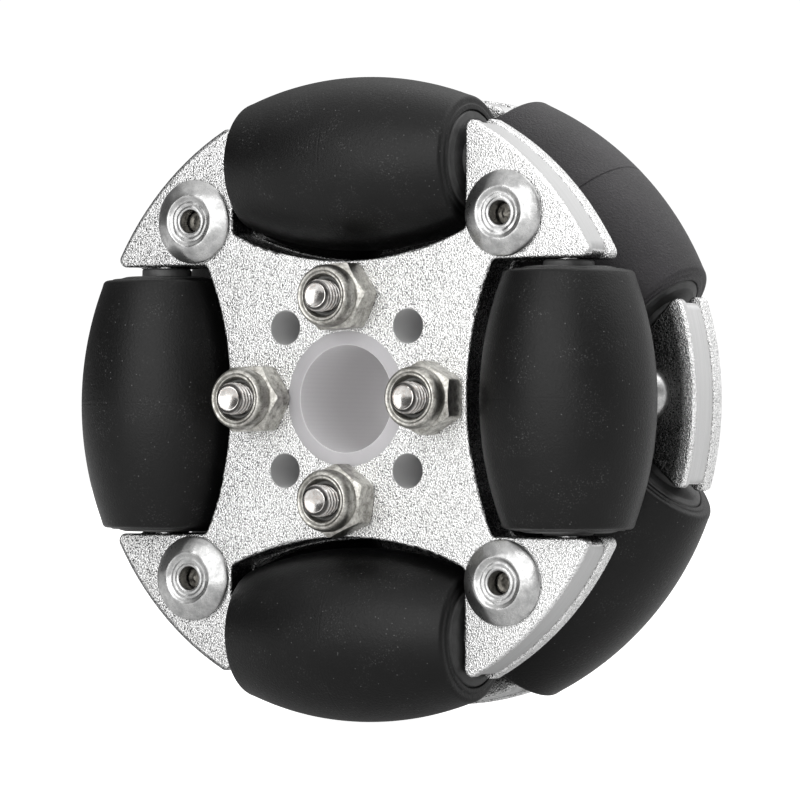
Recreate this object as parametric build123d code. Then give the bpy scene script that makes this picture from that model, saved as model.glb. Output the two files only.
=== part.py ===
# Double-row omni wheel, 60 mm, two aluminium roller carriers on a nylon hub spacer.
# Millimetres. Row frame: origin on the wheel's axis, midway between the outer
# faces of the two carriers; +Y is the wheel axis (the lock-nut side faces -Y),
# +Z is up.
from build123d import *
import math
import os

os.makedirs("parts", exist_ok=True)

# ---------------------------------------------------------------- dimensions
WHEEL_R = 30.0            # rolling radius at the middle of each roller
ROW_PITCH = 14.4          # distance between the two roller planes
ROW_TWIST = 46.2          # second row is turned by half a roller spacing, and a little more
HOLE_TURN = ROW_TWIST - 45.0        # its bolt holes still meet the first row's

ROLLER_R = 8.1            # rubber barrel, largest radius
ROLLER_ARC_R = 32.5       # radius of the barrel's long profile
ROLLER_HALF = 11.9        # half length of the rubber sleeve
ROLLER_EDGE_R = 0.5       # rounding of the sleeve's end corners
CORE_R = 4.6              # plastic core inside the sleeve
CORE_HALF = 12.1         # its ends stand proud of the rubber
CORE_NOSE_R = 3.9
CORE_BORE_R = 2.40
BUSH_R = 2.35             # bush tube that the core turns on
BUSH_HALF = 12.53
BUSH_BORE_R = 1.02
AXLE_R = 1.0              # hardened steel axle pin
AXLE_HALF = 15.4
AXLE_OFFSET = WHEEL_R - ROLLER_R    # axle distance from the wheel axis

CARRIER_R = 28.8          # outside radius of the casting's petals
COVER_R = 29.0            # the cover stands a little proud of it
CARRIER_T = 5.3           # casting and cover together
CASTING_T = 3.7
COVER_T = CARRIER_T - CASTING_T
FACE_LIP_T = 1.0          # un-machined lip of the casting beside its face
POCKET_HALF = 12.65       # half width of a roller pocket
POCKET_FLOOR = 12.85      # pocket floor to wheel axis
POCKET_ARC_R = 30.9
COVER_LIP_FLOOR = 0.22    # how far the cover stands proud of the casting's pocket
COVER_LIP_SIDE = 0.10
TIP_R, TIP_BAND_R, INNER_R = 0.70, 1.0, 0.6
FACE_FILLET = 0.28
PARTING_CHAMFER = 0.12
ROLLER_PLANE = 2.9        # front face of a carrier to its roller plane
# Rollers have end play between the petals; where each one rests along its axle.
ROLLER_REST = {
    ("front", "left"): 0.36, ("front", "right"): -0.17, ("front", "bottom"): 0.27, ("front", "top"): 0.0,
    ("rear", "upper_right"): 0.2, ("rear", "upper_left"): 0.2, ("rear", "lower_left"): 0.2, ("rear", "lower_right"): -0.2,
}

BORE_SEAT_R = 6.3         # hole in the carriers for the spacer's spigot
HUB_BORE_R = 5.0          # free bore through the spacer
SPACER_R = 12.4
BOLT_CIRCLE_R = 9.42
BOLT_HOLE_R = 1.6

RIVET_CIRCLE_R = 23.75
RIVET_HOLE_R = 2.05
RIVET_BODY_R = 2.04
RIVET_HEAD_R = 3.95
RIVET_HEAD_H = 1.2
RIVET_BORE_R = 1.17

BOLT_R = 1.5
BOLT_LENGTH = 25.3
BOLT_HEAD_R = 2.85
BOLT_HEAD_H = 1.65
HEX_KEY_AF = 2.0
NUT_AF = 6.0
NUT_H = 4.5
NUT_HEX_H = 2.65
COLLAR_R = 2.90
NUT_MOUTH_R = 1.85

# --------------------------------------------------------------- axial layout
# Local frame used while building: z runs to the front (row -Y), y is up.
FRONT_FACE = (ROW_PITCH + CARRIER_T) / 2         # outer face of the front row
REAR_FACE = FRONT_FACE - ROW_PITCH               # same face of the rear row
FRONT_BACK = FRONT_FACE - CARRIER_T
REAR_BACK = REAR_FACE - CARRIER_T


def to_row(shape):
    return Rot(90, 0, 0) * shape


def save(name, shapes):
    shapes = shapes if isinstance(shapes, list) else [shapes]
    moved = []
    for s in shapes:
        for solid in s.solids():
            moved.append(to_row(solid))
    out = moved[0] if len(moved) == 1 else Compound(children=moved)
    out.label = name
    export_step(out, f"parts/{name}.step")


def on_circle(shape, radius, angles):
    return [Rot(0, 0, a) * (Pos(radius, 0, 0) * shape) for a in angles]


def revolved(points):
    # points are (radius, height) pairs of a closed profile, turned about local z
    wire = Polyline(*[(r, 0, z) for r, z in points], close=True)
    return revolve(make_face(wire), Axis.Z, 360)


# ------------------------------------------------------------- carrier outline
def carrier_sketch(tip_r, hole_turn, radius=CARRIER_R, lip_floor=0.0, lip_side=0.0):
    plate = Circle(radius)
    floor = POCKET_FLOOR + lip_floor
    pocket = (Pos(0, floor + POCKET_ARC_R) * Circle(POCKET_ARC_R)) & (
        Pos(0, floor + 11) * Rectangle(2 * (POCKET_HALF - lip_side), 24)
    )
    for i in range(4):
        plate -= Rot(0, 0, 90 * i) * pocket
    tips = [v for v in plate.vertices() if math.hypot(v.X, v.Y) > 27]
    plate = fillet(tips, tip_r)
    inner = [
        v for v in plate.vertices()
        if 19.0 < math.hypot(v.X, v.Y) < 21.5
    ]
    plate = fillet(inner, INNER_R)
    plate -= Circle(BORE_SEAT_R)
    for i in range(8):
        a = math.radians(45 * i - hole_turn)
        plate -= Pos(BOLT_CIRCLE_R * math.cos(a), BOLT_CIRCLE_R * math.sin(a)) * Circle(BOLT_HOLE_R)
    for i in range(4):
        a = math.radians(45 + 90 * i)
        plate -= Pos(RIVET_CIRCLE_R * math.cos(a), RIVET_CIRCLE_R * math.sin(a)) * Circle(RIVET_HOLE_R)
    return plate


def outline_edges(solid, z):
    # edges of the outer outline lying in the plane at height z
    found = []
    for e in solid.edges():
        c = e.center()
        if abs(c.Z - z) > 1e-4 or abs(e.bounding_box().size.Z) > 1e-4:
            continue
        if e.geom_type == GeomType.CIRCLE and e.radius < 10 and e.length > 6.2 * e.radius:
            continue  # drilled holes and the bore stay sharp
        if math.hypot(c.X, c.Y) < 12.0 and e.geom_type == GeomType.CIRCLE and e.radius < 7:
            continue
        found.append(e)
    return found


def carrier(face, hole_turn):
    """Casting and cover of one row whose outer face lies at height face."""
    lip = extrude(Pos(0, 0, face - FACE_LIP_T) * carrier_sketch(TIP_R, hole_turn), FACE_LIP_T)
    band = extrude(Pos(0, 0, face - CASTING_T) * carrier_sketch(TIP_BAND_R, hole_turn), CASTING_T - FACE_LIP_T)
    lip = fillet(outline_edges(lip, face), FACE_FILLET)
    casting = lip + band
    casting = chamfer(outline_edges(casting, face - CASTING_T), PARTING_CHAMFER)
    # seats for the axle pins, open towards the cover
    axle_z = face - ROLLER_PLANE
    seat_r = AXLE_R + 0.02
    for i in range(4):
        for side in (-1, 1):
            x0, x1 = POCKET_HALF - 2.0, AXLE_HALF + 0.15
            mid, length = (x0 + x1) / 2, x1 - x0
            rod = Pos(side * mid, AXLE_OFFSET, axle_z) * Rot(0, 90, 0) * Cylinder(seat_r, length)
            slot = Pos(side * mid, AXLE_OFFSET, axle_z - seat_r / 2 - 0.3) * Box(length, 2 * seat_r, seat_r + 0.6)
            casting -= Rot(0, 0, 90 * i) * (rod + slot)
    cover = extrude(Pos(0, 0, face - CARRIER_T) * carrier_sketch(TIP_R, hole_turn, COVER_R, COVER_LIP_FLOOR, COVER_LIP_SIDE), COVER_T)
    cover = fillet(outline_edges(cover, face - CARRIER_T), FACE_FILLET)
    cover = chamfer(outline_edges(cover, face - CASTING_T), PARTING_CHAMFER)
    for i in range(4):
        for side in (-1, 1):
            x0, x1 = POCKET_HALF - 2.0, AXLE_HALF + 0.15
            rod = Pos(side * (x0 + x1) / 2, AXLE_OFFSET, axle_z) * Rot(0, 90, 0) * Cylinder(seat_r, x1 - x0)
            cover -= Rot(0, 0, 90 * i) * rod
    return casting, cover


# ------------------------------------------------------------------- rivets
def rivet(face):
    # blind rivet: domed flange pressed flat round its hole, swollen tail behind
    back = face - CARRIER_T
    pts = [
        (RIVET_BORE_R, face + 0.80),
        (1.45, face + 1.02),
        (2.25, face + 1.10),
        (2.40, face + RIVET_HEAD_H),
        (2.75, face + 1.10),
        (3.35, face + 0.78),
        (3.80, face + 0.42),
        (RIVET_HEAD_R, face + 0.22),
        (RIVET_HEAD_R - 0.05, face),
        (RIVET_BODY_R, face),
        (RIVET_BODY_R, back),
        (2.45, back),
        (2.68, back - 0.45),
        (2.62, back - 1.05),
        (2.30, back - 1.60),
        (2.02, back - 1.95),
        (RIVET_BORE_R, back - 1.95),
    ]
    return revolved(pts)


def mandrel(face):
    # what stays of the pulled mandrel: its head behind the tail and a broken stub
    back = face - CARRIER_T
    pts = [
        (0, face - 0.55),
        (0.55, face - 0.75),
        (1.12, face - 0.62),
        (1.12, back - 1.95),
        (1.90, back - 1.95),
        (1.90, back - 2.25),
        (1.62, back - 2.60),
        (1.00, back - 2.85),
        (0, back - 2.92),
    ]
    return revolved(pts)


# ------------------------------------------------------------------ fasteners
def bolt():
    # M3 button-head screw, head behind the rear row, end through the nut
    end = REAR_BACK + BOLT_LENGTH
    shank = Pos(0, 0, (REAR_BACK + end) / 2) * Cylinder(BOLT_R, BOLT_LENGTH)
    top = [e for e in shank.edges() if abs(e.center().Z - end) < 1e-3 and e.geom_type == GeomType.CIRCLE]
    shank = chamfer(top, 0.35)
    head = revolved([
        (0, REAR_BACK - BOLT_HEAD_H),
        (1.35, REAR_BACK - BOLT_HEAD_H),
        (2.05, REAR_BACK - 1.38),
        (2.55, REAR_BACK - 0.90),
        (BOLT_HEAD_R, REAR_BACK - 0.30),
        (BOLT_HEAD_R, REAR_BACK),
        (0, REAR_BACK),
    ])
    key = extrude(
        Pos(0, 0, REAR_BACK - BOLT_HEAD_H) * RegularPolygon(HEX_KEY_AF / 2, 6, major_radius=False), 1.05
    )
    return (shank + head) - key


def nut(turn):
    hexagon = extrude(Pos(0, 0, FRONT_FACE) * RegularPolygon(NUT_AF / 2, 6, major_radius=False), NUT_HEX_H)
    rc = NUT_AF / math.sqrt(3)
    cone = revolved([
        (0, FRONT_FACE), (NUT_AF / 2 - 0.05, FRONT_FACE), (rc + 0.02, FRONT_FACE + 0.26),
        (rc + 0.02, FRONT_FACE + NUT_HEX_H - 0.30), (NUT_AF / 2 - 0.10, FRONT_FACE + NUT_HEX_H), (0, FRONT_FACE + NUT_HEX_H),
    ])
    hexagon = hexagon & cone
    z = FRONT_FACE + NUT_HEX_H
    top = FRONT_FACE + NUT_H
    collar = revolved([
        (0, z), (COLLAR_R, z), (COLLAR_R, top - 0.75), (COLLAR_R - 0.08, top - 0.35),
        (COLLAR_R - 0.26, top - 0.10), (COLLAR_R - 0.46, top), (COLLAR_R - 0.75, top - 0.05),
        (NUT_MOUTH_R, top - 0.22), (NUT_MOUTH_R, top - 0.60), (0, top - 0.60),
    ])
    body = hexagon + collar
    body -= Pos(0, 0, FRONT_FACE + NUT_H / 2) * Cylinder(BOLT_R + 0.01, NUT_H + 2)
    cavity = Pos(0, 0, top - 0.60 - 0.55) * Cylinder(2.12, 1.10)
    body -= cavity
    return Rot(0, 0, turn) * body


def nut_insert():
    # nylon locking ring inside the collar
    top = FRONT_FACE + NUT_H - 0.60
    ring = Pos(0, 0, top - 0.55) * Cylinder(2.12, 1.10)
    return ring - Pos(0, 0, top - 0.55) * Cylinder(BOLT_R + 0.01, 2)


# -------------------------------------------------------------------- rollers
def sleeve():
    # rubber barrel turned about its own axle (local z here)
    e, rr, h = ROLLER_EDGE_R, ROLLER_R, ROLLER_HALF

    def barrel(z):
        return rr - (ROLLER_ARC_R - math.sqrt(ROLLER_ARC_R**2 - z * z))

    end_r = barrel(h)
    with BuildPart() as p:
        with BuildSketch(Plane.XZ) as s:
            with BuildLine():
                a = Line((CORE_R, -h), (end_r, -h))
                b = ThreePointArc((end_r, -h), (rr, 0), (end_r, h))
                c = Line((end_r, h), (CORE_R, h))
                d = Line((CORE_R, h), (CORE_R, -h))
            make_face()
            corners = [v for v in s.vertices() if abs(v.X - end_r) < 1e-3]
            fillet(corners, e)
        revolve(axis=Axis.Z)
    return p.part


def core():
    # tube with a low nose at each end, standing out of the rubber
    h, nose = CORE_HALF, CORE_HALF - ROLLER_HALF
    pts = [
        (CORE_BORE_R, -h), (CORE_NOSE_R, -h), (CORE_R - 0.15, -h + nose * 0.75), (CORE_R, -h + nose + 0.15),
        (CORE_R, h - nose - 0.15), (CORE_R - 0.15, h - nose * 0.75), (CORE_NOSE_R, h), (CORE_BORE_R, h),
    ]
    return revolved(pts)


def bush():
    tube = Cylinder(BUSH_R, 2 * BUSH_HALF) - Cylinder(BUSH_BORE_R, 3 * BUSH_HALF)
    rims = [e for e in tube.edges() if e.geom_type == GeomType.CIRCLE and abs(e.radius - BUSH_R) < 1e-3]
    return chamfer(rims, 0.15)


def axle():
    pin = Cylinder(AXLE_R, 2 * AXLE_HALF)
    return chamfer(pin.edges().filter_by(GeomType.CIRCLE), 0.15)


def place_roller(shape, angle, face, along=0.0):
    # local z of the roller piece becomes tangential; angle is where the roller sits
    lying = Pos(AXLE_OFFSET, along, face - ROLLER_PLANE) * Rot(90, 0, 0) * shape
    return Rot(0, 0, angle) * lying


# --------------------------------------------------------------------- spacer
def hub_spacer():
    body = Pos(0, 0, (FRONT_BACK + REAR_FACE) / 2) * Cylinder(SPACER_R, FRONT_BACK - REAR_FACE)
    rims = [e for e in body.edges() if e.geom_type == GeomType.CIRCLE]
    body = chamfer(rims, 0.4)
    spigot = Pos(0, 0, (FRONT_FACE + REAR_BACK) / 2) * Cylinder(BORE_SEAT_R, FRONT_FACE - REAR_BACK)
    body += spigot
    body -= Cylinder(HUB_BORE_R, 60)
    for i in range(8):
        body -= Rot(0, 0, 45 * i) * (Pos(BOLT_CIRCLE_R, 0, 0) * Cylinder(BOLT_HOLE_R, 60))
    return body


# ---------------------------------------------------------------------- build
PETALS = [45, 135, 225, 315]
NAMES_FRONT = {0: "right", 90: "top", 180: "left", 270: "bottom"}
NAMES_REAR = {
    ROW_TWIST + 90 * i: where
    for i, where in enumerate(("upper_right", "upper_left", "lower_left", "lower_right"))
}

front_casting, front_cover = carrier(FRONT_FACE, 0.0)
rear_casting, rear_cover = carrier(REAR_FACE, HOLE_TURN)
save("front_carrier_casting", front_casting)
save("front_carrier_cover", front_cover)
save("rear_carrier_casting", Rot(0, 0, ROW_TWIST) * rear_casting)
save("rear_carrier_cover", Rot(0, 0, ROW_TWIST) * rear_cover)

save("front_rivets", on_circle(rivet(FRONT_FACE), RIVET_CIRCLE_R, PETALS))
save("front_rivet_mandrels", on_circle(mandrel(FRONT_FACE), RIVET_CIRCLE_R, PETALS))
# the second row is riveted from the back, so its tails face the first row
REAR_TURNED = Pos(0, 0, REAR_FACE + REAR_BACK) * Rot(180, 0, 0)
save("rear_rivets", on_circle(REAR_TURNED * rivet(REAR_FACE), RIVET_CIRCLE_R, [a + ROW_TWIST for a in PETALS]))
save("rear_rivet_mandrels", on_circle(REAR_TURNED * mandrel(REAR_FACE), RIVET_CIRCLE_R, [a + ROW_TWIST for a in PETALS]))

BOLT_ANGLES = [0, 90, 180, 270]
NUT_TURNS = [30, 4, 2, 24]
save("through_bolts", on_circle(bolt(), BOLT_CIRCLE_R, BOLT_ANGLES))
save("lock_nuts", [
    Rot(0, 0, a) * (Pos(BOLT_CIRCLE_R, 0, 0) * (Rot(0, 0, -a) * nut(t)))
    for a, t in zip(BOLT_ANGLES, NUT_TURNS)
])
save("lock_nut_inserts", on_circle(nut_insert(), BOLT_CIRCLE_R, BOLT_ANGLES))
save("hub_spacer", hub_spacer())

save("front_axle_pins", [place_roller(axle(), a, FRONT_FACE) for a in NAMES_FRONT])
save("rear_axle_pins", [place_roller(axle(), a, REAR_FACE) for a in NAMES_REAR])

rubber, plastic, tube = sleeve(), core(), bush()
for face, names, row in ((FRONT_FACE, NAMES_FRONT, "front"), (REAR_FACE, NAMES_REAR, "rear")):
    for angle, where in names.items():
        rest = ROLLER_REST[(row, where)]
        save(f"{row}_{where}_roller_sleeve", place_roller(rubber, angle, face, rest))
        save(f"{row}_{where}_roller_core", place_roller(plastic, angle, face, rest))
        save(f"{row}_{where}_axle_bush", place_roller(tube, angle, face))
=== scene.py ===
import bpy
import math
from mathutils import Matrix, Vector, noise


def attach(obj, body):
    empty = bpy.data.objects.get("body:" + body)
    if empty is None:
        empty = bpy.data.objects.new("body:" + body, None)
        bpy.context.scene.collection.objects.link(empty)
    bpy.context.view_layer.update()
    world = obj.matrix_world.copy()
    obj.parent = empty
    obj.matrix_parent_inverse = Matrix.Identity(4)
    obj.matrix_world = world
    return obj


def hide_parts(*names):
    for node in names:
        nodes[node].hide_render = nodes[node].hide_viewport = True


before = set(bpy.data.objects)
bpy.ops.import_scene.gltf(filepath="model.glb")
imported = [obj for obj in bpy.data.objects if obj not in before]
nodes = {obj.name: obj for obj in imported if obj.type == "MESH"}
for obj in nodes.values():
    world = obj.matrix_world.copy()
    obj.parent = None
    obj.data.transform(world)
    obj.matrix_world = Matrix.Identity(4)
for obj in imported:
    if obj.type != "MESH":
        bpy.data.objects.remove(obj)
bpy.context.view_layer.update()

MM = 0.001
# The dimensions of part.py that the detailed pieces need, in millimetres.
WHEEL_R, ROLLER_R = 30.0, 8.1
ROLLER_ARC_R, ROLLER_HALF, ROLLER_EDGE_R = 32.5, 11.9, 0.5
CORE_R = 4.6
# where each roller rests in its end play, along its own axle
REST = {
    ("front", "left"): 0.36, ("front", "right"): -0.17, ("front", "bottom"): 0.27, ("front", "top"): 0.0,
    ("rear", "upper_right"): 0.2, ("rear", "upper_left"): 0.2, ("rear", "lower_left"): 0.2, ("rear", "lower_right"): -0.2,
}
AXLE_OFFSET = WHEEL_R - ROLLER_R
CARRIER_T, ROLLER_PLANE, ROW_PITCH = 5.3, 2.9, 14.4
FRONT_FACE = (ROW_PITCH + CARRIER_T) / 2
REAR_FACE = FRONT_FACE - ROW_PITCH
REAR_BACK = REAR_FACE - CARRIER_T
RIVET_CIRCLE_R, BOLT_CIRCLE_R = 23.75, 9.42
BOLT_LENGTH = 25.3
NUT_AF, NUT_H, NUT_HEX_H = 6.0, 4.5, 2.65
ROW_TWIST = 46.2


# ------------------------------------------------------------------ mesh tools
def wheel_matrix(radius, degrees, z=0.0, spin=0.0):
    """Local z runs along the wheel's axis to the front (row -Y); placed at a polar place, in mm."""
    a = math.radians(degrees)
    base = Matrix(((1, 0, 0), (0, 0, -1), (0, 1, 0))).to_4x4()
    return Matrix.Scale(MM, 4) @ base @ Matrix.Translation((radius * math.cos(a), radius * math.sin(a), z)) @ Matrix.Rotation(math.radians(spin), 4, "Z")


def roller_matrix(degrees, face, along=0.0):
    """Local z is the roller's own axle, local x points away from the wheel's axis."""
    a = math.radians(degrees)
    x = Vector((math.cos(a), 0, math.sin(a)))
    y = Vector((0, 1, 0))
    z = Vector((-math.sin(a), 0, math.cos(a)))
    m = Matrix((x, y, z)).transposed().to_4x4()
    m.translation = Vector((AXLE_OFFSET * math.cos(a), -(face - ROLLER_PLANE), AXLE_OFFSET * math.sin(a)))
    return Matrix.Scale(MM, 4) @ m @ Matrix.Translation((0, 0, along))


class Build:
    """Collects rings of points into one mesh."""

    def __init__(self):
        self.v, self.f = [], []

    def ring(self, pts):
        i = len(self.v)
        self.v.extend(pts)
        return list(range(i, i + len(pts)))

    def join(self, a, b):
        n = len(a)
        for k in range(n):
            self.f.append((a[k], a[(k + 1) % n], b[(k + 1) % n], b[k]))

    def cap(self, ring, point, flip=False):
        c = len(self.v)
        self.v.append(point)
        n = len(ring)
        for k in range(n):
            t = (ring[k], ring[(k + 1) % n], c)
            self.f.append(t[::-1] if flip else t)

    def rings(self, loops, closed=True):
        ids = [self.ring(p) for p in loops]
        for a, b in zip(ids, ids[1:]):
            self.join(a, b)
        if closed:
            self.join(ids[-1], ids[0])
        return ids

    def make(self, name, matrix, material, body, slot=None, sharp=38, replaces=()):
        me = bpy.data.meshes.new(name)
        me.from_pydata([matrix @ Vector(p) for p in self.v], [], self.f)
        me.validate()
        import bmesh
        bm = bmesh.new()
        bm.from_mesh(me)
        bmesh.ops.remove_doubles(bm, verts=bm.verts, dist=1e-8)
        bmesh.ops.recalc_face_normals(bm, faces=bm.faces)
        bm.to_mesh(me)
        bm.free()
        for p in me.polygons:
            p.use_smooth = True
        me.set_sharp_from_angle(angle=math.radians(sharp))
        ob = bpy.data.objects.new(name, me)
        bpy.context.scene.collection.objects.link(ob)
        me.materials.append(material)
        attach(ob, body)
        if replaces:
            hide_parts(*replaces)
        return ob


def circle(r, z, n, wob=None):
    out = []
    for k in range(n):
        t = 2 * math.pi * k / n
        rr = r + (wob(t, r, z) if wob else 0.0)
        out.append((rr * math.cos(t), rr * math.sin(t), z))
    return out


def merge(name, builds, material, body, slot=None, sharp=38, replaces=()):
    """Several Builds, each with its own matrix, as one piece."""
    out = Build()
    for b, m in builds:
        i = len(out.v)
        out.v.extend([tuple(m @ Vector(p)) for p in b.v])
        out.f.extend([tuple(i + k for k in f) for f in b.f])
    return out.make(name, Matrix.Identity(4), material, body, slot, sharp, replaces)


# --------------------------------------------------------------- node materials
def material(name):
    m = bpy.data.materials.new(name)
    m.use_nodes = True
    nt = m.node_tree
    b = nt.nodes["Principled BSDF"]
    return m, nt, b


def add(nt, kind, **values):
    n = nt.nodes.new(kind)
    for k, v in values.items():
        if k in n.inputs.keys():
            n.inputs[k].default_value = v
        else:
            setattr(n, k, v)
    return n


def coords(nt, scale=1000.0):
    """Object coordinates in millimetres."""
    tc = add(nt, "ShaderNodeTexCoord")
    mp = add(nt, "ShaderNodeMapping")
    mp.inputs["Scale"].default_value = (scale, scale, scale)
    nt.links.new(tc.outputs["Object"], mp.inputs["Vector"])
    return mp.outputs["Vector"]


def noise_tex(nt, vec, scale, detail=2.0, rough=0.5, distortion=0.0):
    n = add(nt, "ShaderNodeTexNoise", Scale=scale, Detail=detail, Roughness=rough, Distortion=distortion)
    nt.links.new(vec, n.inputs["Vector"])
    return n.outputs["Fac"]


def ramp(nt, fac, stops, interpolation="LINEAR"):
    r = add(nt, "ShaderNodeValToRGB")
    r.color_ramp.interpolation = interpolation
    while len(r.color_ramp.elements) < len(stops):
        r.color_ramp.elements.new(0.5)
    for e, (p, c) in zip(r.color_ramp.elements, stops):
        e.position = p
        e.color = (c, c, c, 1) if isinstance(c, (int, float)) else (*c, 1)
    nt.links.new(fac, r.inputs["Fac"])
    return r.outputs["Color"]


def math_node(nt, op, a, b=None, clamp=False):
    n = add(nt, "ShaderNodeMath", operation=op, use_clamp=clamp)
    for i, v in enumerate((a, b)):
        if v is None:
            continue
        if isinstance(v, (int, float)):
            n.inputs[i].default_value = v
        else:
            nt.links.new(v, n.inputs[i])
    return n.outputs[0]


def mix(nt, fac, a, b, blend="MIX"):
    n = add(nt, "ShaderNodeMix", data_type="RGBA", blend_type=blend)
    for s, v in (("Factor", fac), ("A", a), ("B", b)):
        sock = [i for i in n.inputs if i.name == s and i.enabled and (s == "Factor" and i.type == "VALUE" or s != "Factor" and i.type == "RGBA")][0]
        if isinstance(v, (int, float)) and s == "Factor":
            sock.default_value = v
        elif isinstance(v, (tuple, list)):
            sock.default_value = (*v, 1)
        elif isinstance(v, (int, float)):
            sock.default_value = (v, v, v, 1)
        else:
            nt.links.new(v, sock)
    return [o for o in n.outputs if o.type == "RGBA"][0]


def bump(nt, bsdf, height, distance, strength=1.0, before=None):
    n = add(nt, "ShaderNodeBump", Strength=strength, Distance=distance)
    nt.links.new(height, n.inputs["Height"])
    if before is not None:
        nt.links.new(before, n.inputs["Normal"])
    if bsdf is not None:
        nt.links.new(n.outputs["Normal"], bsdf.inputs["Normal"])
    return n.outputs["Normal"]


HOLE_AT = BOLT_CIRCLE_R * math.cos(math.radians(45))


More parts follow.
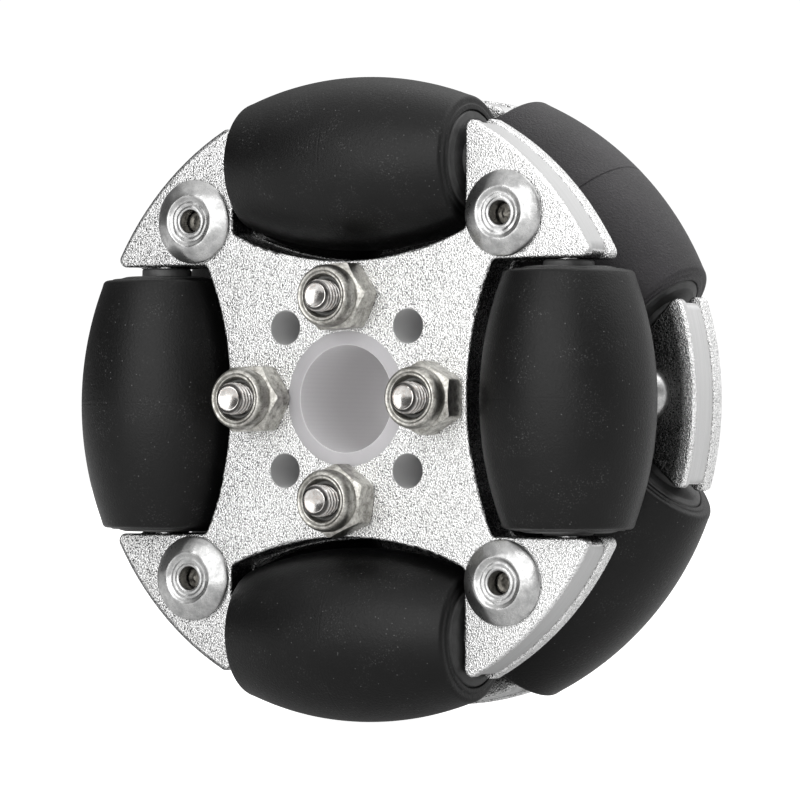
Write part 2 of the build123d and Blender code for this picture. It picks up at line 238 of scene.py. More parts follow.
def cast_aluminium(name, face, rim_lo=None, rim_hi=None, drilled=True, deep_painted_shade=False, rim_tone=(0.565, 0.625)):
    """Grained casting with its face at y = face (mm). Its sunk walls are darkened as painted shade, and with the shade
    flag set its face is darkened too, darker still;
    between two heights of y its rim is turned smooth."""
    m, nt, b = material(name)
    v = coords(nt)
    fine = noise_tex(nt, v, 6.2, 2.0, 0.60, 0.18)
    mid = noise_tex(nt, v, 2.3, 2.0, 0.5)
    broad = noise_tex(nt, v, 0.22, 3.0, 0.5)
    grain = math_node(nt, "ADD", math_node(nt, "MULTIPLY", fine, 0.84), math_node(nt, "MULTIPLY", mid, 0.16))
    pits = ramp(nt, grain, [(0.37, 0.10), (0.43, 0.44), (0.48, 0.88), (0.54, 1.0)])
    tone = ramp(nt, broad, [(0.3, (0.93, 0.93, 0.925)), (0.7, (0.99, 0.99, 0.99))])
    grained = mix(nt, 1.0, tone, pits, "MULTIPLY")
    place = add(nt, "ShaderNodeSeparateXYZ")
    nt.links.new(v, place.inputs[0])
    px, py, pz = place.outputs
    rad = math_node(nt, "SQRT", math_node(nt, "ADD", math_node(nt, "MULTIPLY", px, px), math_node(nt, "MULTIPLY", pz, pz)))
    # painted light: toward +x the grain fades into the plain tone, a lighter right side
    right_painted_light = math_node(nt, "MULTIPLY", math_node(nt, "SUBTRACT", px, 7.0), 0.12, True)
    grained = mix(nt, math_node(nt, "MULTIPLY", right_painted_light, 0.32), grained, tone)
    # painted shade: the sunk walls inside the rim are darkened; with the shade flag the face is included and darkened
    # more deeply
    depth = math_node(nt, "SUBTRACT", py, face)
    sunk_painted_shade = math_node(nt, "MULTIPLY", math_node(nt, "MULTIPLY", math_node(nt, "SUBTRACT", depth, 0.12 if not deep_painted_shade else -1.0), 5.0, True),
                     math_node(nt, "MULTIPLY", math_node(nt, "SUBTRACT", CARRIER_T - 0.15, depth), 8.0, True))
    sunk_painted_shade = math_node(nt, "MULTIPLY", sunk_painted_shade, math_node(nt, "MULTIPLY", math_node(nt, "SUBTRACT", 28.5, rad), 0.9 if deep_painted_shade else 2.5, True))
    grained = mix(nt, sunk_painted_shade, grained, mix(nt, 1.0, grained, 0.12 if deep_painted_shade else 0.28, "MULTIPLY"))
    # painted shade: toward -x the casting darkens and its pits deepen, a shaded left side
    left_painted_shade = math_node(nt, "MULTIPLY", math_node(nt, "SUBTRACT", -9.0, px), 0.10, True)
    grained = mix(nt, math_node(nt, "MULTIPLY", left_painted_shade, 0.85), grained, mix(nt, 1.0, mix(nt, 1.0, grained, pits, "MULTIPLY"), 0.90, "MULTIPLY"))
    rough_g = ramp(nt, grain, [(0.3, 0.34), (0.6, 0.20)])
    # painted shade: the outer rim edge near the face, on the left side, is darkened toward the dark pits
    left_rim_painted_shade = math_node(nt, "MULTIPLY", math_node(nt, "MULTIPLY", math_node(nt, "SUBTRACT", rad, 28.36), 8.0, True),
                    math_node(nt, "MULTIPLY", math_node(nt, "SUBTRACT", -11.5, px), 0.5, True))
    left_rim_painted_shade = math_node(nt, "MULTIPLY", left_rim_painted_shade, math_node(nt, "MULTIPLY", math_node(nt, "SUBTRACT", 0.40, depth), 8.0, True))
    grained = mix(nt, math_node(nt, "MULTIPLY", left_rim_painted_shade, 0.90), grained, mix(nt, 1.0, pits, 0.22, "MULTIPLY"))
    if drilled:
        hs = add(nt, "ShaderNodeSeparateXYZ")
        nt.links.new(v, hs.inputs[0])
        d = None
        for out in (hs.outputs[0], hs.outputs[2]):
            q = math_node(nt, "SUBTRACT", math_node(nt, "ABSOLUTE", out), HOLE_AT)
            q = math_node(nt, "MULTIPLY", q, q)
            d = q if d is None else math_node(nt, "ADD", d, q)
        near = math_node(nt, "MULTIPLY", math_node(nt, "SUBTRACT", 1.64, math_node(nt, "SQRT", d)), 40.0, True)
        far = math_node(nt, "SUBTRACT", 1.0, near)
        grained = mix(nt, near, grained, (0.78, 0.78, 0.78))
        rough_g = math_node(nt, "ADD", math_node(nt, "MULTIPLY", rough_g, far), math_node(nt, "MULTIPLY", near, 0.72))
        grain = math_node(nt, "MULTIPLY", grain, far)
    if rim_lo is None:
        nt.links.new(grained, b.inputs["Base Color"])
        nt.links.new(rough_g, b.inputs["Roughness"])
        bump(nt, b, grain, 0.15 * MM)
    else:
        sep = add(nt, "ShaderNodeSeparateXYZ")
        nt.links.new(v, sep.inputs[0])
        x, y, z = sep.outputs
        r = math_node(nt, "SQRT", math_node(nt, "ADD", math_node(nt, "MULTIPLY", x, x), math_node(nt, "MULTIPLY", z, z)))
        edge = math_node(nt, "MULTIPLY", math_node(nt, "SUBTRACT", mid, 0.5), 0.6)
        yy = math_node(nt, "ADD", y, edge)
        outer = math_node(nt, "MULTIPLY", math_node(nt, "SUBTRACT", r, 28.45), 8.0, True)
        lo = math_node(nt, "MULTIPLY", math_node(nt, "SUBTRACT", yy, rim_lo), 9.0, True)
        hi = math_node(nt, "MULTIPLY", math_node(nt, "SUBTRACT", rim_hi, yy), 9.0, True)
        mask = math_node(nt, "MULTIPLY", outer, math_node(nt, "MULTIPLY", lo, hi))
        lines = add(nt, "ShaderNodeTexNoise", Scale=1.0, Detail=3.0, Roughness=0.6)
        stretch = add(nt, "ShaderNodeMapping")
        stretch.inputs["Scale"].default_value = (0.12, 9.0, 0.12)
        nt.links.new(v, stretch.inputs["Vector"])
        nt.links.new(stretch.outputs[0], lines.inputs["Vector"])
        turned = ramp(nt, lines.outputs["Fac"], [(0.35, (rim_tone[0],) * 3), (0.65, (rim_tone[1],) * 3)])
        col = mix(nt, mask, grained, turned)
        nt.links.new(col, b.inputs["Base Color"])
        inv = math_node(nt, "SUBTRACT", 1.0, mask)
        rr = math_node(nt, "ADD", math_node(nt, "MULTIPLY", rough_g, inv), math_node(nt, "MULTIPLY", 0.50, mask))
        nt.links.new(rr, b.inputs["Roughness"])
        h = math_node(nt, "ADD", math_node(nt, "MULTIPLY", grain, inv), math_node(nt, "MULTIPLY", math_node(nt, "MULTIPLY", lines.outputs["Fac"], 0.10), mask))
        bump(nt, b, h, 0.15 * MM)
    b.inputs["Metallic"].default_value = 1.0
    return m


def satin_metal(name, dark, light, rough=(0.28, 0.45), scale=1.2, fine=9.0, depth=0.012, stain=None):
    m, nt, b = material(name)
    v = coords(nt)
    a = noise_tex(nt, v, scale, 4.0, 0.6, 0.3)
    f = noise_tex(nt, v, fine, 3.0, 0.6)
    both = math_node(nt, "ADD", math_node(nt, "MULTIPLY", a, 0.65), math_node(nt, "MULTIPLY", f, 0.35))
    col = ramp(nt, both, [(0.34, dark), (0.62, light)])
    if stain is not None:
        s = ramp(nt, noise_tex(nt, v, scale * 1.7, 3.0, 0.6), [(0.52, 0.0), (0.68, 1.0)])
        col = mix(nt, math_node(nt, "MULTIPLY", s, 0.55), col, stain)
    nt.links.new(col, b.inputs["Base Color"])
    nt.links.new(ramp(nt, both, [(0.3, rough[1]), (0.7, rough[0])]), b.inputs["Roughness"])
    bump(nt, b, both, depth * MM)
    b.inputs["Metallic"].default_value = 1.0
    return m


def bolt_radius(nt, v):
    """Distance (mm) from the nearest of the four bolt axes."""
    sep = add(nt, "ShaderNodeSeparateXYZ")
    nt.links.new(v, sep.inputs[0])
    ax, az_ = math_node(nt, "ABSOLUTE", sep.outputs[0]), math_node(nt, "ABSOLUTE", sep.outputs[2])
    along = math_node(nt, "SUBTRACT", math_node(nt, "MAXIMUM", ax, az_), BOLT_CIRCLE_R)
    side = math_node(nt, "MINIMUM", ax, az_)
    return math_node(nt, "SQRT", math_node(nt, "ADD", math_node(nt, "MULTIPLY", along, along), math_node(nt, "MULTIPLY", side, side)))


def painted_light_by_bolt_radius(m, stops, scale):
    """Painted shade and highlight: multiply a finished metal's colour by a factor set by distance from its bolt axis;
    stops are (mm / scale, factor).
    """
    nt = m.node_tree
    b = nt.nodes["Principled BSDF"]
    was = b.inputs["Base Color"].links[0].from_socket
    r = math_node(nt, "MULTIPLY", bolt_radius(nt, coords(nt)), 1.0 / scale)
    nt.links.new(mix(nt, 1.0, was, ramp(nt, r, [(a / scale, f) for a, f in stops]), "MULTIPLY"), b.inputs["Base Color"])
    return m


def rubber(name, base=0.0010, light=0.0026, rough=(0.37, 0.47), dust=0.7, gloss=0.27, tint=(1.0, 1.0, 1.02), depth=0.038):
    m, nt, b = material(name)
    v = coords(nt)
    broad = noise_tex(nt, v, 0.18, 3.0, 0.55)
    skin = noise_tex(nt, v, 4.6, 3.0, 0.6)
    col = ramp(nt, broad, [(0.35, tuple(base * t for t in tint)), (0.7, tuple(light * t for t in tint))])
    # dust: sparse pale flecks
    vor = add(nt, "ShaderNodeTexVoronoi", Scale=1.5, Randomness=1.0)
    nt.links.new(v, vor.inputs["Vector"])
    fleck = ramp(nt, vor.outputs["Distance"], [(0.045, 1.0), (0.105, 0.0)])
    pick = ramp(nt, vor.outputs["Color"], [(0.50, 0.0), (0.60, 1.0)])
    amount = math_node(nt, "MULTIPLY", math_node(nt, "MULTIPLY", fleck, pick), dust)
    col = mix(nt, amount, col, (0.16, 0.16, 0.16))
    fine = ramp(nt, noise_tex(nt, v, 6.5, 1.0, 0.5), [(0.60, 0.0), (0.72, 1.0)])
    where = ramp(nt, noise_tex(nt, v, 0.35, 2.0, 0.5), [(0.48, 0.04), (0.64, 1.0)])
    col = mix(nt, math_node(nt, "MULTIPLY", math_node(nt, "MULTIPLY", fine, where), 0.50), col, (0.07, 0.07, 0.07))
    nt.links.new(col, b.inputs["Base Color"])
    nt.links.new(ramp(nt, skin, [(0.3, rough[1]), (0.7, rough[0])]), b.inputs["Roughness"])
    bump(nt, b, skin, depth * MM)
    b.inputs["Specular IOR Level"].default_value = gloss
    return m


def nylon(name, dark, light, bore_painted_light_tone, sss=0.4, rough=(0.42, 0.5)):
    m, nt, b = material(name)
    v = coords(nt)
    a = noise_tex(nt, v, 0.35, 3.0, 0.5)
    f = noise_tex(nt, v, 5.0, 2.0, 0.5)
    col = ramp(nt, a, [(0.3, dark), (0.7, light)])
    # painted light: the bore wall is lighter than the end ring, most near its mouth, standing in for light passing
    # through the thin wall
    sep = add(nt, "ShaderNodeSeparateXYZ")
    nt.links.new(v, sep.inputs[0])
    x, y, z = sep.outputs
    r = math_node(nt, "SQRT", math_node(nt, "ADD", math_node(nt, "MULTIPLY", x, x), math_node(nt, "MULTIPLY", z, z)))
    wall = math_node(nt, "MULTIPLY", math_node(nt, "SUBTRACT", 5.06, r), 14.0, True)
    mouth_painted_light = ramp(nt, math_node(nt, "MULTIPLY", math_node(nt, "ADD", y, FRONT_FACE), 0.1), [(0.0, 0.52), (0.70, 0.0)])
    # painted shade: the nylon darkens toward -x, a shaded left side of the ring
    left = math_node(nt, "MULTIPLY", math_node(nt, "SUBTRACT", -1.5, x), 0.30, True)
    col = mix(nt, left, col, mix(nt, 1.0, col, 0.83, "MULTIPLY"))
    col = mix(nt, wall, col, mix(nt, mouth_painted_light, bore_painted_light_tone, (0.86, 0.85, 0.865)))
    nt.links.new(col, b.inputs["Base Color"])
    nt.links.new(ramp(nt, f, [(0.3, rough[0]), (0.7, rough[1])]), b.inputs["Roughness"])
    bump(nt, b, f, 0.006 * MM)
    b.inputs["Subsurface Weight"].default_value = sss
    b.inputs["Subsurface Radius"].default_value = (1.0, 0.9, 1.0)
    b.inputs["Subsurface Scale"].default_value = 1.5 * MM
    return m


def moulded(name, dark, light, rough=(0.4, 0.55)):
    m, nt, b = material(name)
    v = coords(nt)
    a = noise_tex(nt, v, 1.1, 3.0, 0.55)
    f = noise_tex(nt, v, 8.0, 2.0, 0.5)
    nt.links.new(ramp(nt, a, [(0.35, dark), (0.65, light)]), b.inputs["Base Color"])
    nt.links.new(ramp(nt, f, [(0.3, rough[0]), (0.7, rough[1])]), b.inputs["Roughness"])
    bump(nt, b, f, 0.008 * MM)
    return m


M_FRONT_CAST = cast_aluminium("cast aluminium front", -FRONT_FACE, -9.42, -5.6, rim_tone=(0.495, 0.545))
# the rear casting carries deep painted shade over its face, which lies in the front row's shadow
M_REAR_CAST = cast_aluminium("cast aluminium rear", -REAR_FACE, 4.98, 8.8, deep_painted_shade=True, rim_tone=(0.59, 0.65))
M_FRONT_COVER = cast_aluminium("cast aluminium front cover", -FRONT_FACE)
M_REAR_COVER = cast_aluminium("cast aluminium rear cover", -REAR_FACE)
M_RIVET = satin_metal("rivet aluminium", (0.34, 0.34, 0.34), (0.60, 0.60, 0.595), (0.22, 0.38), 1.1, 7.0, 0.022)
M_MANDREL = satin_metal("mandrel steel", (0.07, 0.066, 0.058), (0.20, 0.19, 0.17), (0.35, 0.6), 1.6, 5.0, 0.03)
# painted shade: the screws' thread roots are darkened
M_BOLT = painted_light_by_bolt_radius(satin_metal("bolt steel", (0.50, 0.48, 0.46), (0.86, 0.84, 0.82), (0.14, 0.28), 2.0, 9.0, 0.010, stain=(0.66, 0.54, 0.47)),
              [(1.10, 1.0), (1.14, 0.10), (1.30, 0.12), (1.40, 0.55), (1.47, 0.95)], 3.0)
# painted shade in the collar's inner recess and on its outer side, and a painted highlight on its crown
M_NUT = painted_light_by_bolt_radius(satin_metal("nut steel", (0.19, 0.18, 0.16), (0.64, 0.63, 0.59), (0.30, 0.46), 1.6, 6.0, 0.060),
             [(1.84, 0.55), (2.00, 1.0), (2.20, 0.90), (2.28, 0.85), (2.42, 1.25), (2.64, 1.0), (2.84, 0.90), (2.95, 1.0)], 3.5)
M_PIN = satin_metal("axle pin steel", (0.40, 0.40, 0.40), (0.62, 0.62, 0.62), (0.2, 0.35), 1.5, 10.0, 0.006)
M_RUBBER = rubber("roller rubber")
M_DUSTY = rubber("dusty roller rubber", 0.010, 0.018, (0.46, 0.58), 0.45, 0.42, (1.10, 0.98, 1.14), 0.11)
M_NYLON = nylon("hub nylon", (0.465, 0.454, 0.468), (0.505, 0.493, 0.508), (0.66, 0.648, 0.655), 0.30, (0.58, 0.68))
M_NUTNYLON = moulded("lock nut nylon", (0.12, 0.12, 0.115), (0.20, 0.20, 0.19))
M_CORE = moulded("roller core plastic", (0.014, 0.014, 0.014), (0.028, 0.028, 0.028))
M_BUSH = moulded("bush plastic", (0.045, 0.045, 0.045), (0.075, 0.075, 0.075))


def wear(ob, mat):
    ob.data.materials.clear()
    ob.data.materials.append(mat)


wear(nodes["front_carrier_casting"], M_FRONT_CAST)
wear(nodes["rear_carrier_casting"], M_REAR_CAST)
wear(nodes["front_carrier_cover"], M_FRONT_COVER)
wear(nodes["rear_carrier_cover"], M_REAR_COVER)
wear(nodes["hub_spacer"], M_NYLON)
soft = nodes["hub_spacer"].modifiers.new("soft edge", "BEVEL")
soft.width, soft.segments, soft.limit_method, soft.angle_limit = 0.22 * MM, 4, "ANGLE", math.radians(50)
wear(nodes["front_axle_pins"], M_PIN)
wear(nodes["rear_axle_pins"], M_PIN)
for n, o in nodes.items():
    if n.endswith("_core"):
        wear(o, M_CORE)
    elif n.endswith("_axle_bush"):
        wear(o, M_BUSH)


# --------------------------------------------------------------------- camera
cam = bpy.data.cameras.new("camera")
cam.lens, cam.sensor_width = 219.68, 36.0
cam.clip_start, cam.clip_end = 0.05, 20.0
cam_ob = bpy.data.objects.new("camera", cam)
bpy.context.scene.collection.objects.link(cam_ob)
az, el, roll = math.radians(31.010), math.radians(-0.864), math.radians(0.147)
right = Vector((math.cos(az), math.sin(az), 0))
back = Vector((math.sin(az) * math.cos(el), -math.cos(az) * math.cos(el), math.sin(el)))
up = back.cross(right)
r2 = right * math.cos(roll) + up * math.sin(roll)
u2 = -right * math.sin(roll) + up * math.cos(roll)
cm = Matrix((r2, u2, back)).transposed().to_4x4()
cm.translation = Vector((237.01, -394.46, -6.91)) * MM
cam_ob.matrix_world = cm
bpy.context.scene.camera = cam_ob


# -------------------------------------------------------------------- rollers
def barrel(s):
    return ROLLER_R - (ROLLER_ARC_R - math.sqrt(ROLLER_ARC_R**2 - s * s))


def sleeve_build(seed, groove):
    n = 128
    e = ROLLER_EDGE_R
    corner = ROLLER_HALF - 0.14          # a low step inside R 5.2 stands out of the end face
    half = []
    # from the equator to the end: parting line, barrel, rounded corner, end face
    half.append((barrel(0) - groove, 0.0))
    half.append((barrel(0.05) - groove * 0.55, 0.04))
    half.append((barrel(0.1) + 0.004, 0.09))
    half.append((barrel(0.2), 0.2))
    s = 0.6
    while s < corner - e - 0.05:
        half.append((barrel(s), s))
        s += 0.6
    slope = math.atan2(corner, math.sqrt(ROLLER_ARC_R**2 - corner**2))
    cr = barrel(corner - e) - e
    for k in range(7):
        ang = k / 6 * (math.radians(84) - slope) + slope
        half.append((cr + e * math.cos(ang), corner - e + e * math.sin(ang)))
    r0, z0 = half[-1]
    half.append((r0 + (5.30 - r0) * 0.5, z0 + 0.01))
    half.append((5.30, z0 + 0.015))
    half.append((5.22, z0 + 0.05))
    half.append((5.18, ROLLER_HALF - 0.05))
    half.append((5.10, ROLLER_HALF - 0.02))
    half.append((CORE_R + 0.25, ROLLER_HALF - 0.015))
    half.append((CORE_R + 0.12, ROLLER_HALF - 0.01))
    half.append((CORE_R + 0.03, ROLLER_HALF - 0.10))
    half.append((CORE_R, ROLLER_HALF - 0.4))
    half.append((CORE_R, ROLLER_HALF - 2.0))
    loop = [(r, -z) for r, z in half[::-1]] + half[1:]
    b = Build()

    def wob(t, r, z):
        p = Vector((math.cos(t) * 1.3, math.sin(t) * 1.3, z * 0.12)) + Vector((seed * 3.7, 0, 0))
        return 0.012 * noise.noise(p) - 0.012

    b.rings([circle(r, z, n, wob if r > CORE_R + 0.3 else None) for r, z in loop])
    return b


ROWS = (
    ("front", FRONT_FACE, {0: "right", 90: "top", 180: "left", 270: "bottom"}),
    ("rear", REAR_FACE, {ROW_TWIST + 90 * i: w for i, w in enumerate(("upper_right", "upper_left", "lower_left", "lower_right"))}),
)
seed = 0
for row, face, places in ROWS:
    for deg, where in places.items():
        body = f"{row}_{where}_roller"
        seed += 1
        groove = 0.055 if body == "rear_upper_right_roller" else 0.006
        sleeve_build(seed, groove).make(f"{body}_tyre", roller_matrix(deg, face, REST[(row, where)]), M_DUSTY if body == "rear_upper_right_roller" else M_RUBBER, body, "roller_rubber", 30,
                                (f"{body}_sleeve",))


# --------------------------------------------------------------------- rivets
def rivet_build(seed):
    n = 96
    back = -CARRIER_T
    pts = [
        (1.10, 0.20), (1.08, 0.70), (1.10, 0.86), (1.17, 0.94), (1.28, 0.965), (1.38, 0.945), (1.46, 0.93), (1.55, 0.94),
        (1.66, 0.975), (1.78, 0.98), (1.88, 0.955), (1.98, 0.97), (2.10, 1.03), (2.20, 1.10), (2.28, 1.155),
        (2.36, 1.185), (2.44, 1.185), (2.54, 1.16), (2.75, 1.06), (3.00, 0.925), (3.25, 0.785), (3.50, 0.635),
        (3.72, 0.49), (3.88, 0.375), (3.95, 0.30), (3.965, 0.22), (3.93, 0.12), (3.84, 0.075), (3.6, 0.05), (2.4, 0.02),
        (2.04, 0.0), (2.04, back + 0.02), (2.40, back - 0.02), (2.60, back - 0.25), (2.68, back - 0.55), (2.68, back - 0.85),
        (2.60, back - 1.15), (2.42, back - 1.50), (2.22, back - 1.75), (2.10, back - 1.90), (1.95, back - 1.95),
        (1.10, back - 1.95), (1.10, -2.0),
    ]

    def wob(t, r, z):
        p = Vector((math.cos(t) * 1.4 + seed * 5.1, math.sin(t) * 1.4, z * 1.5 + r * 0.8))
        amp = 0.060 if 1.25 < r < 2.5 and z > 0 else 0.012
        return amp * noise.noise(p)

    b = Build()
    loops = []
    for r, z in pts:
        ring = []
        for k in range(n):
            t = 2 * math.pi * k / n
            rr = r + (wob(t, r, z) if r > 1.2 else 0.0)
            dz = 0.0
            if 1.3 < r < 3.6 and z > 0.5:
                dz = 0.040 * noise.noise(Vector((rr * math.cos(t) * 1.1 + seed * 9.3, rr * math.sin(t) * 1.1, seed)))
            ring.append((rr * math.cos(t), rr * math.sin(t), z + dz))
        loops.append(ring)
    b.rings(loops)
    return b


def mandrel_build(seed):
    n = 40
    back = -CARRIER_T
    b = Build()
    loops = []
    prof = [(0.28, -0.42), (0.55, -0.50), (0.82, -0.46), (0.98, -0.54), (1.05, -0.75), (1.05, -3.0), (1.05, back - 1.95),
            (1.55, back - 1.95), (1.86, back - 1.97), (1.92, back - 2.05), (1.90, back - 2.25), (1.62, back - 2.60),
            (1.25, back - 2.78), (0.80, back - 2.88), (0.40, back - 2.91)]
    for r, z in prof:
        ring = []
        for k in range(n):
            t = 2 * math.pi * k / n
            dz = 0.0
            if z > -1.0:
                dz = 0.16 * noise.noise(Vector((r * math.cos(t) * 1.7 + seed * 7.7, r * math.sin(t) * 1.7, 2.0)))
            ring.append((r * math.cos(t), r * math.sin(t), z + dz))
        loops.append(ring)
    ids = b.rings(loops, closed=False)
    b.cap(ids[0], (0, 0, -0.40 + 0.05 * math.sin(seed * 2.0)), True)
    b.cap(ids[-1], (0, 0, back - 2.92))
    return b


def riveted(row, angle, spin):
    """The first row is riveted from its face, the second from its back."""
    if row == "front":
        return wheel_matrix(RIVET_CIRCLE_R, angle, FRONT_FACE, spin)
    return wheel_matrix(RIVET_CIRCLE_R, angle, REAR_BACK, spin) @ Matrix.Rotation(math.pi, 4, "X")


for row, degs in (("front", (45, 135, 225, 315)), ("rear", [45 + ROW_TWIST + 90 * i for i in range(4)])):
    off = 0 if row == "front" else 10
    merge(f"{row}_pop_rivets", [(rivet_build(off + i), riveted(row, a, 37 * i)) for i, a in enumerate(degs)],
          M_RIVET, "wheel_hub", "rivet_aluminium", 40, (f"{row}_rivets",))
    merge(f"{row}_broken_mandrels", [(mandrel_build(off + i), riveted(row, a, 37 * i)) for i, a in enumerate(degs)],
          M_MANDREL, "wheel_hub", "mandrel_steel", 30, (f"{row}_rivet_mandrels",))


# ----------------------------------------------------------------------- nuts
def nut_build(turn, seed):
    apothem, corner = NUT_AF / 2, 3.40
    r0 = apothem - 0.08
    angles = []
    for k in range(6):
        base = turn + 60 * k
        angles += [base + d for d in (-3.2, -1.6, 0, 1.6, 3.2)]
        angles += [base + 3.2 + (60 - 6.4) * j / 12 for j in range(1, 12)]
    angles = sorted(math.radians(a % 360) for a in angles)

    def hexr(t):
        phi = (math.degrees(t) - turn) % 60 - 30
        return min(apothem / math.cos(math.radians(phi)), corner)

    def ring_of(fr, fz):
        return [(fr(t) * math.cos(t), fr(t) * math.sin(t), fz(t)) for t in angles]

    k30 = math.tan(math.radians(30))
    top, h = NUT_HEX_H, NUT_H
    loops = [ring_of(lambda t: 1.51, lambda t: 0.0), ring_of(lambda t: r0, lambda t: 0.0)]
    for f in (0.5, 1.0):
        loops.append(ring_of(lambda t, f=f: r0 + (hexr(t) - r0) * f, lambda t, f=f: (hexr(t) - r0) * f * k30))
    loops.append(ring_of(lambda t: hexr(t), lambda t: top / 2))
    for f in (1.0, 0.5, 0.0):
        loops.append(ring_of(lambda t, f=f: r0 + (hexr(t) - r0) * f, lambda t, f=f: top - (hexr(t) - r0) * f * k30))
    collar = [
        (2.86, top + 0.02), (2.79, top + 0.05), (2.77, top + 0.10), (2.80, top + 0.17), (2.86, top + 0.27), (2.89, top + 0.40),
        (2.895, 3.50), (2.885, 3.72), (2.85, 3.92), (2.79, 4.10), (2.71, 4.25), (2.62, 4.36), (2.54, 4.43), (2.46, 4.46),
        (2.38, 4.44), (2.31, 4.385), (2.25, 4.34), (2.19, 4.35), (2.12, 4.37), (2.05, 4.35), (1.97, 4.27), (1.90, 4.16),
        (1.85, 4.02), (1.83, 3.80), (1.84, 3.62), (2.0, 3.55), (2.0, 2.4), (1.51, 2.4),
    ]

    def wobble(r, z):
        out = []
        for t in angles:
            d = 0.02 * noise.noise(Vector((math.cos(t) * 1.6 + seed * 4.1, math.sin(t) * 1.6, z * 1.2)))
            dz = 0.02 * noise.noise(Vector((math.cos(t) * 2.0 + seed * 8.1, math.sin(t) * 2.0, r)))
            if r < 1.86 or z < top + 0.1:
                d = dz = 0.0
            out.append(((r + d) * math.cos(t), (r + d) * math.sin(t), z + dz))
        return out

    loops += [wobble(r, z) for r, z in collar]
    b = Build()
    b.rings(loops)
    return b


def insert_build():
    b = Build()
    b.rings([circle(r, z, 64) for r, z in (
        (1.49, 3.42), (1.49, 3.50), (1.55, 3.60), (1.64, 3.66), (1.74, 3.68), (1.81, 3.65), (1.81, 3.58), (1.98, 3.54), (1.98, 2.42), (1.49, 2.42))])
    return b


BOLT_ANGLES, NUT_TURNS = (0, 90, 180, 270), (30, 4, 2, 24)
merge("nyloc_nuts", [(nut_build(t, i), wheel_matrix(BOLT_CIRCLE_R, a, FRONT_FACE)) for i, (a, t) in enumerate(zip(BOLT_ANGLES, NUT_TURNS))],
      M_NUT, "wheel_hub", "nut_steel", 28, ("lock_nuts",))
merge("nyloc_rings", [(insert_build(), wheel_matrix(BOLT_CIRCLE_R, a, FRONT_FACE)) for a in BOLT_ANGLES],
      M_NUTNYLON, "wheel_hub", "nut_nylon", 35, ("lock_nut_inserts",))


# ---------------------------------------------------------------------- screws
def screw_build(phase, seed, skew):
    """M3 x 0.5 button-head screw. z = 0 is the front carrier's face; the head is at the back."""
    n, pitch, major, minor = 48, 0.5, 1.48, 1.19
    head = -(FRONT_FACE - REAR_BACK)
    end = head + BOLT_LENGTH
    b = Build()

    def thread(t, z):
        u = ((z / pitch) - (t + phase) / (2 * math.pi)) % 1.0
        tri = abs(2 * u - 1)                      # 1 at the root, 0 at the crest
        k = min(1.0, max(0.0, (tri - 0.12) / 0.70))
        k = k * k * (3 - 2 * k) * 0.35 + k * 0.65
        r = major - (major - minor) * k
        cone = 1.10 + (end - z) * 1.15
        return min(r, cone)

    loops = []
    for r, z in ((0.72, head - 0.55),):
        pass
    # socket floor, socket wall, head, shank
    def hexring(ap, z):
        out = []
        for k in range(n):
            t = 2 * math.pi * k / n
            phi = (math.degrees(t)) % 60 - 30
            rr = ap / math.cos(math.radians(phi))
            out.append((rr * math.cos(t), rr * math.sin(t), z))
        return out

    loops.append(hexring(0.35, head - 0.58))
    loops.append(hexring(0.98, head - 0.62))
    loops.append(hexring(1.0, head - 0.70))
    loops.append(hexring(1.0, head - 1.55))
    loops.append(circle(1.24, head - 1.64, n))
    for r, z in ((1.32, -1.65), (1.50, -1.62), (1.80, -1.52), (2.08, -1.38), (2.35, -1.17), (2.57, -0.92), (2.74, -0.63), (2.83, -0.36), (2.85, -0.20), (2.84, -0.06), (2.80, 0.0), (1.48, 0.0)):
        loops.append(circle(r, head + z, n))
    loops.append(circle(major, -2.0, n))
    z = -1.5
    while z < end - 1e-6:
        loops.append([(thread(2 * math.pi * k / n, z) * math.cos(2 * math.pi * k / n), thread(2 * math.pi * k / n, z) * math.sin(2 * math.pi * k / n), z) for k in range(n)])
        z += 0.125 if z < 2.9 else 0.042
    def end_z(r, a, dz):
        """A dished end, cut a little out of square."""
        return end - 0.01 + dz - 0.085 * (1.1 + math.cos(a - skew) * r) - 0.012 * abs(noise.noise(Vector((r * 2 * math.cos(a) + seed * 3, r * 2 * math.sin(a), 0))))

    for r, dz in ((1.10, -0.02), (1.05, 0.0), (0.98, -0.015), (0.90, -0.05), (0.78, -0.10), (0.62, -0.145), (0.42, -0.175), (0.22, -0.19)):
        loops.append([(r * math.cos(2 * math.pi * k / n), r * math.sin(2 * math.pi * k / n), end_z(r, 2 * math.pi * k / n, dz)) for k in range(n)])
    ids = b.rings(loops, closed=False)
    b.cap(ids[0], (0, 0, head - 0.56), True)
    b.cap(ids[-1], (0, 0, end_z(0.0, 0.0, -0.195)))
    return b


merge("threaded_screws", [(screw_build(1.3 * i, i, math.radians(180 - a)), wheel_matrix(BOLT_CIRCLE_R, a, FRONT_FACE)) for i, a in enumerate(BOLT_ANGLES)],
      M_BOLT, "wheel_hub", "bolt_steel", 45, ("through_bolts",))


# ---------------------------------------------------------------- room and light
def light(name, loc, target, size, energy, color=(1, 1, 1), size_y=None):
    l = bpy.data.lights.new(name, "AREA")
    l.shape = "RECTANGLE"
    l.size, l.size_y = size, size_y or size
    l.energy, l.color = energy, color
    o = bpy.data.objects.new(name, l)
    bpy.context.scene.collection.objects.link(o)
    o.location = loc
    o.rotation_mode = "QUATERNION"
    o.rotation_quaternion = (Vector(target) - Vector(loc)).to_track_quat("-Z", "Y")
    o.visible_camera = False
    return o


def box_light(name, loc, target, wide, high, radiance):
    """An area light of a given radiance, seen as a soft box."""
    return light(name, loc, target, wide, radiance * 4 * wide * high, size_y=high)


# one large soft box in front; the rest of the room is the world's gradient
box_light("front_box", (0.043, -0.37, 0.13), (0.043, 0.0, 0.13), 0.47, 0.44, 1.95)

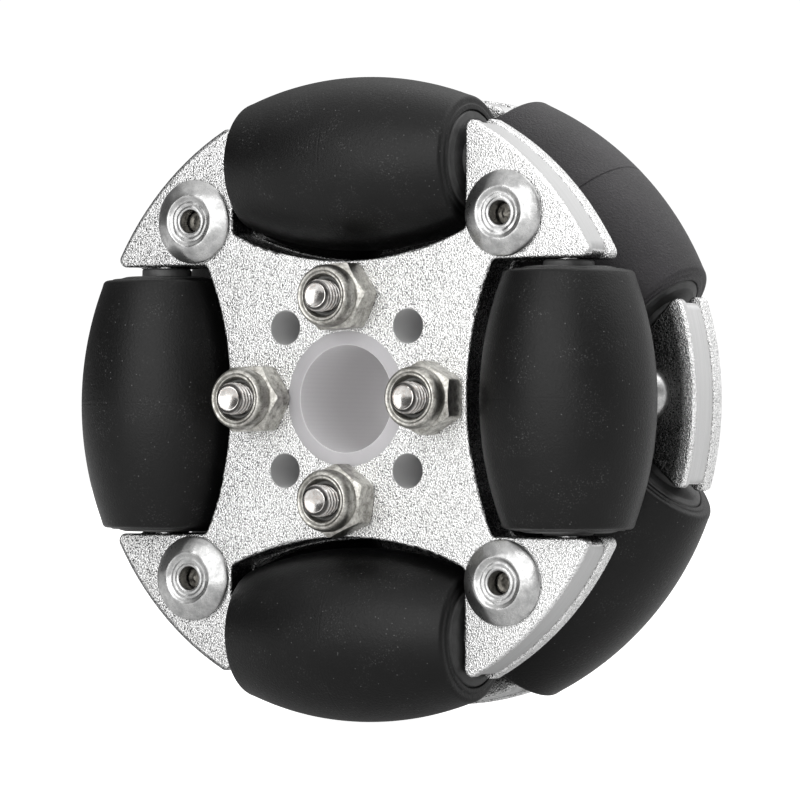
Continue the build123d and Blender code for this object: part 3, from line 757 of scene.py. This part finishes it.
world = bpy.data.worlds.new("world")
bpy.context.scene.world = world
world.use_nodes = True
wn = world.node_tree
bg = wn.nodes["Background"]
tc = wn.nodes.new("ShaderNodeTexCoord")
sp = wn.nodes.new("ShaderNodeSeparateXYZ")
wn.links.new(tc.outputs["Generated"], sp.inputs[0])


def step(value, lo, hi, top):
    n = wn.nodes.new("ShaderNodeMapRange")
    n.interpolation_type = "SMOOTHSTEP"
    for k, v in (("From Min", lo), ("From Max", hi), ("To Min", 0.0), ("To Max", top)):
        n.inputs[k].default_value = v
    wn.links.new(value, n.inputs["Value"])
    return n.outputs["Result"]


wx, wy, wz = sp.outputs
behind = math_node(wn, "MULTIPLY", step(wy, -0.05, 0.60, 0.80), step(wz, -0.40, 0.10, 1.0))
behind = math_node(wn, "MULTIPLY", behind, math_node(wn, "ADD", step(wx, -0.75, 0.05, 0.93), 0.07))
above = step(wz, 0.35, 0.95, 1.0)
beside = step(wx, 0.30, 0.95, 0.22)
right_top = wn.nodes.new("ShaderNodeVectorMath")
right_top.operation = "DOT_PRODUCT"
wn.links.new(tc.outputs["Generated"], right_top.inputs[0])
right_top.inputs[1].default_value = (0.50, 0.25, 0.83)
corner_glow = step(right_top.outputs["Value"], 0.72, 0.98, 1.15)
room = math_node(wn, "ADD", math_node(wn, "ADD", math_node(wn, "ADD", behind, above), corner_glow), math_node(wn, "ADD", beside, 0.09))
lp = wn.nodes.new("ShaderNodeLightPath")
mx = wn.nodes.new("ShaderNodeMix")
mx.data_type = "FLOAT"
wn.links.new(lp.outputs["Is Camera Ray"], mx.inputs[0])
wn.links.new(room, mx.inputs[2])
mx.inputs[3].default_value = 1.05
wn.links.new(mx.outputs[0], bg.inputs["Strength"])
bg.inputs["Color"].default_value = (1, 1, 1, 1)

fm, fnt, fb = material("studio floor")
fb.inputs["Roughness"].default_value = 0.8
fb.inputs["Base Color"].default_value = (0.45, 0.45, 0.45, 1)
fb.inputs["Emission Color"].default_value = (1, 1, 1, 1)
flp = fnt.nodes.new("ShaderNodeLightPath")
fmx = fnt.nodes.new("ShaderNodeMix")
fmx.data_type = "FLOAT"
fnt.links.new(flp.outputs["Is Camera Ray"], fmx.inputs[0])
fmx.inputs[2].default_value = 0.27
fmx.inputs[3].default_value = 1.0
fnt.links.new(fmx.outputs[0], fb.inputs["Emission Strength"])
fme = bpy.data.meshes.new("floor")
S = 6.0
fme.from_pydata([(-S, -S, 0), (S, -S, 0), (S, S, 0), (-S, S, 0)], [], [(0, 1, 2, 3)])
fo = bpy.data.objects.new("floor", fme)
fo.location = (0, 0, -WHEEL_R * MM - 0.00005)
bpy.context.scene.collection.objects.link(fo)
fme.materials.append(fm)

bpy.context.scene.view_settings.view_transform = "Standard"
bpy.context.scene.view_settings.look = "None"
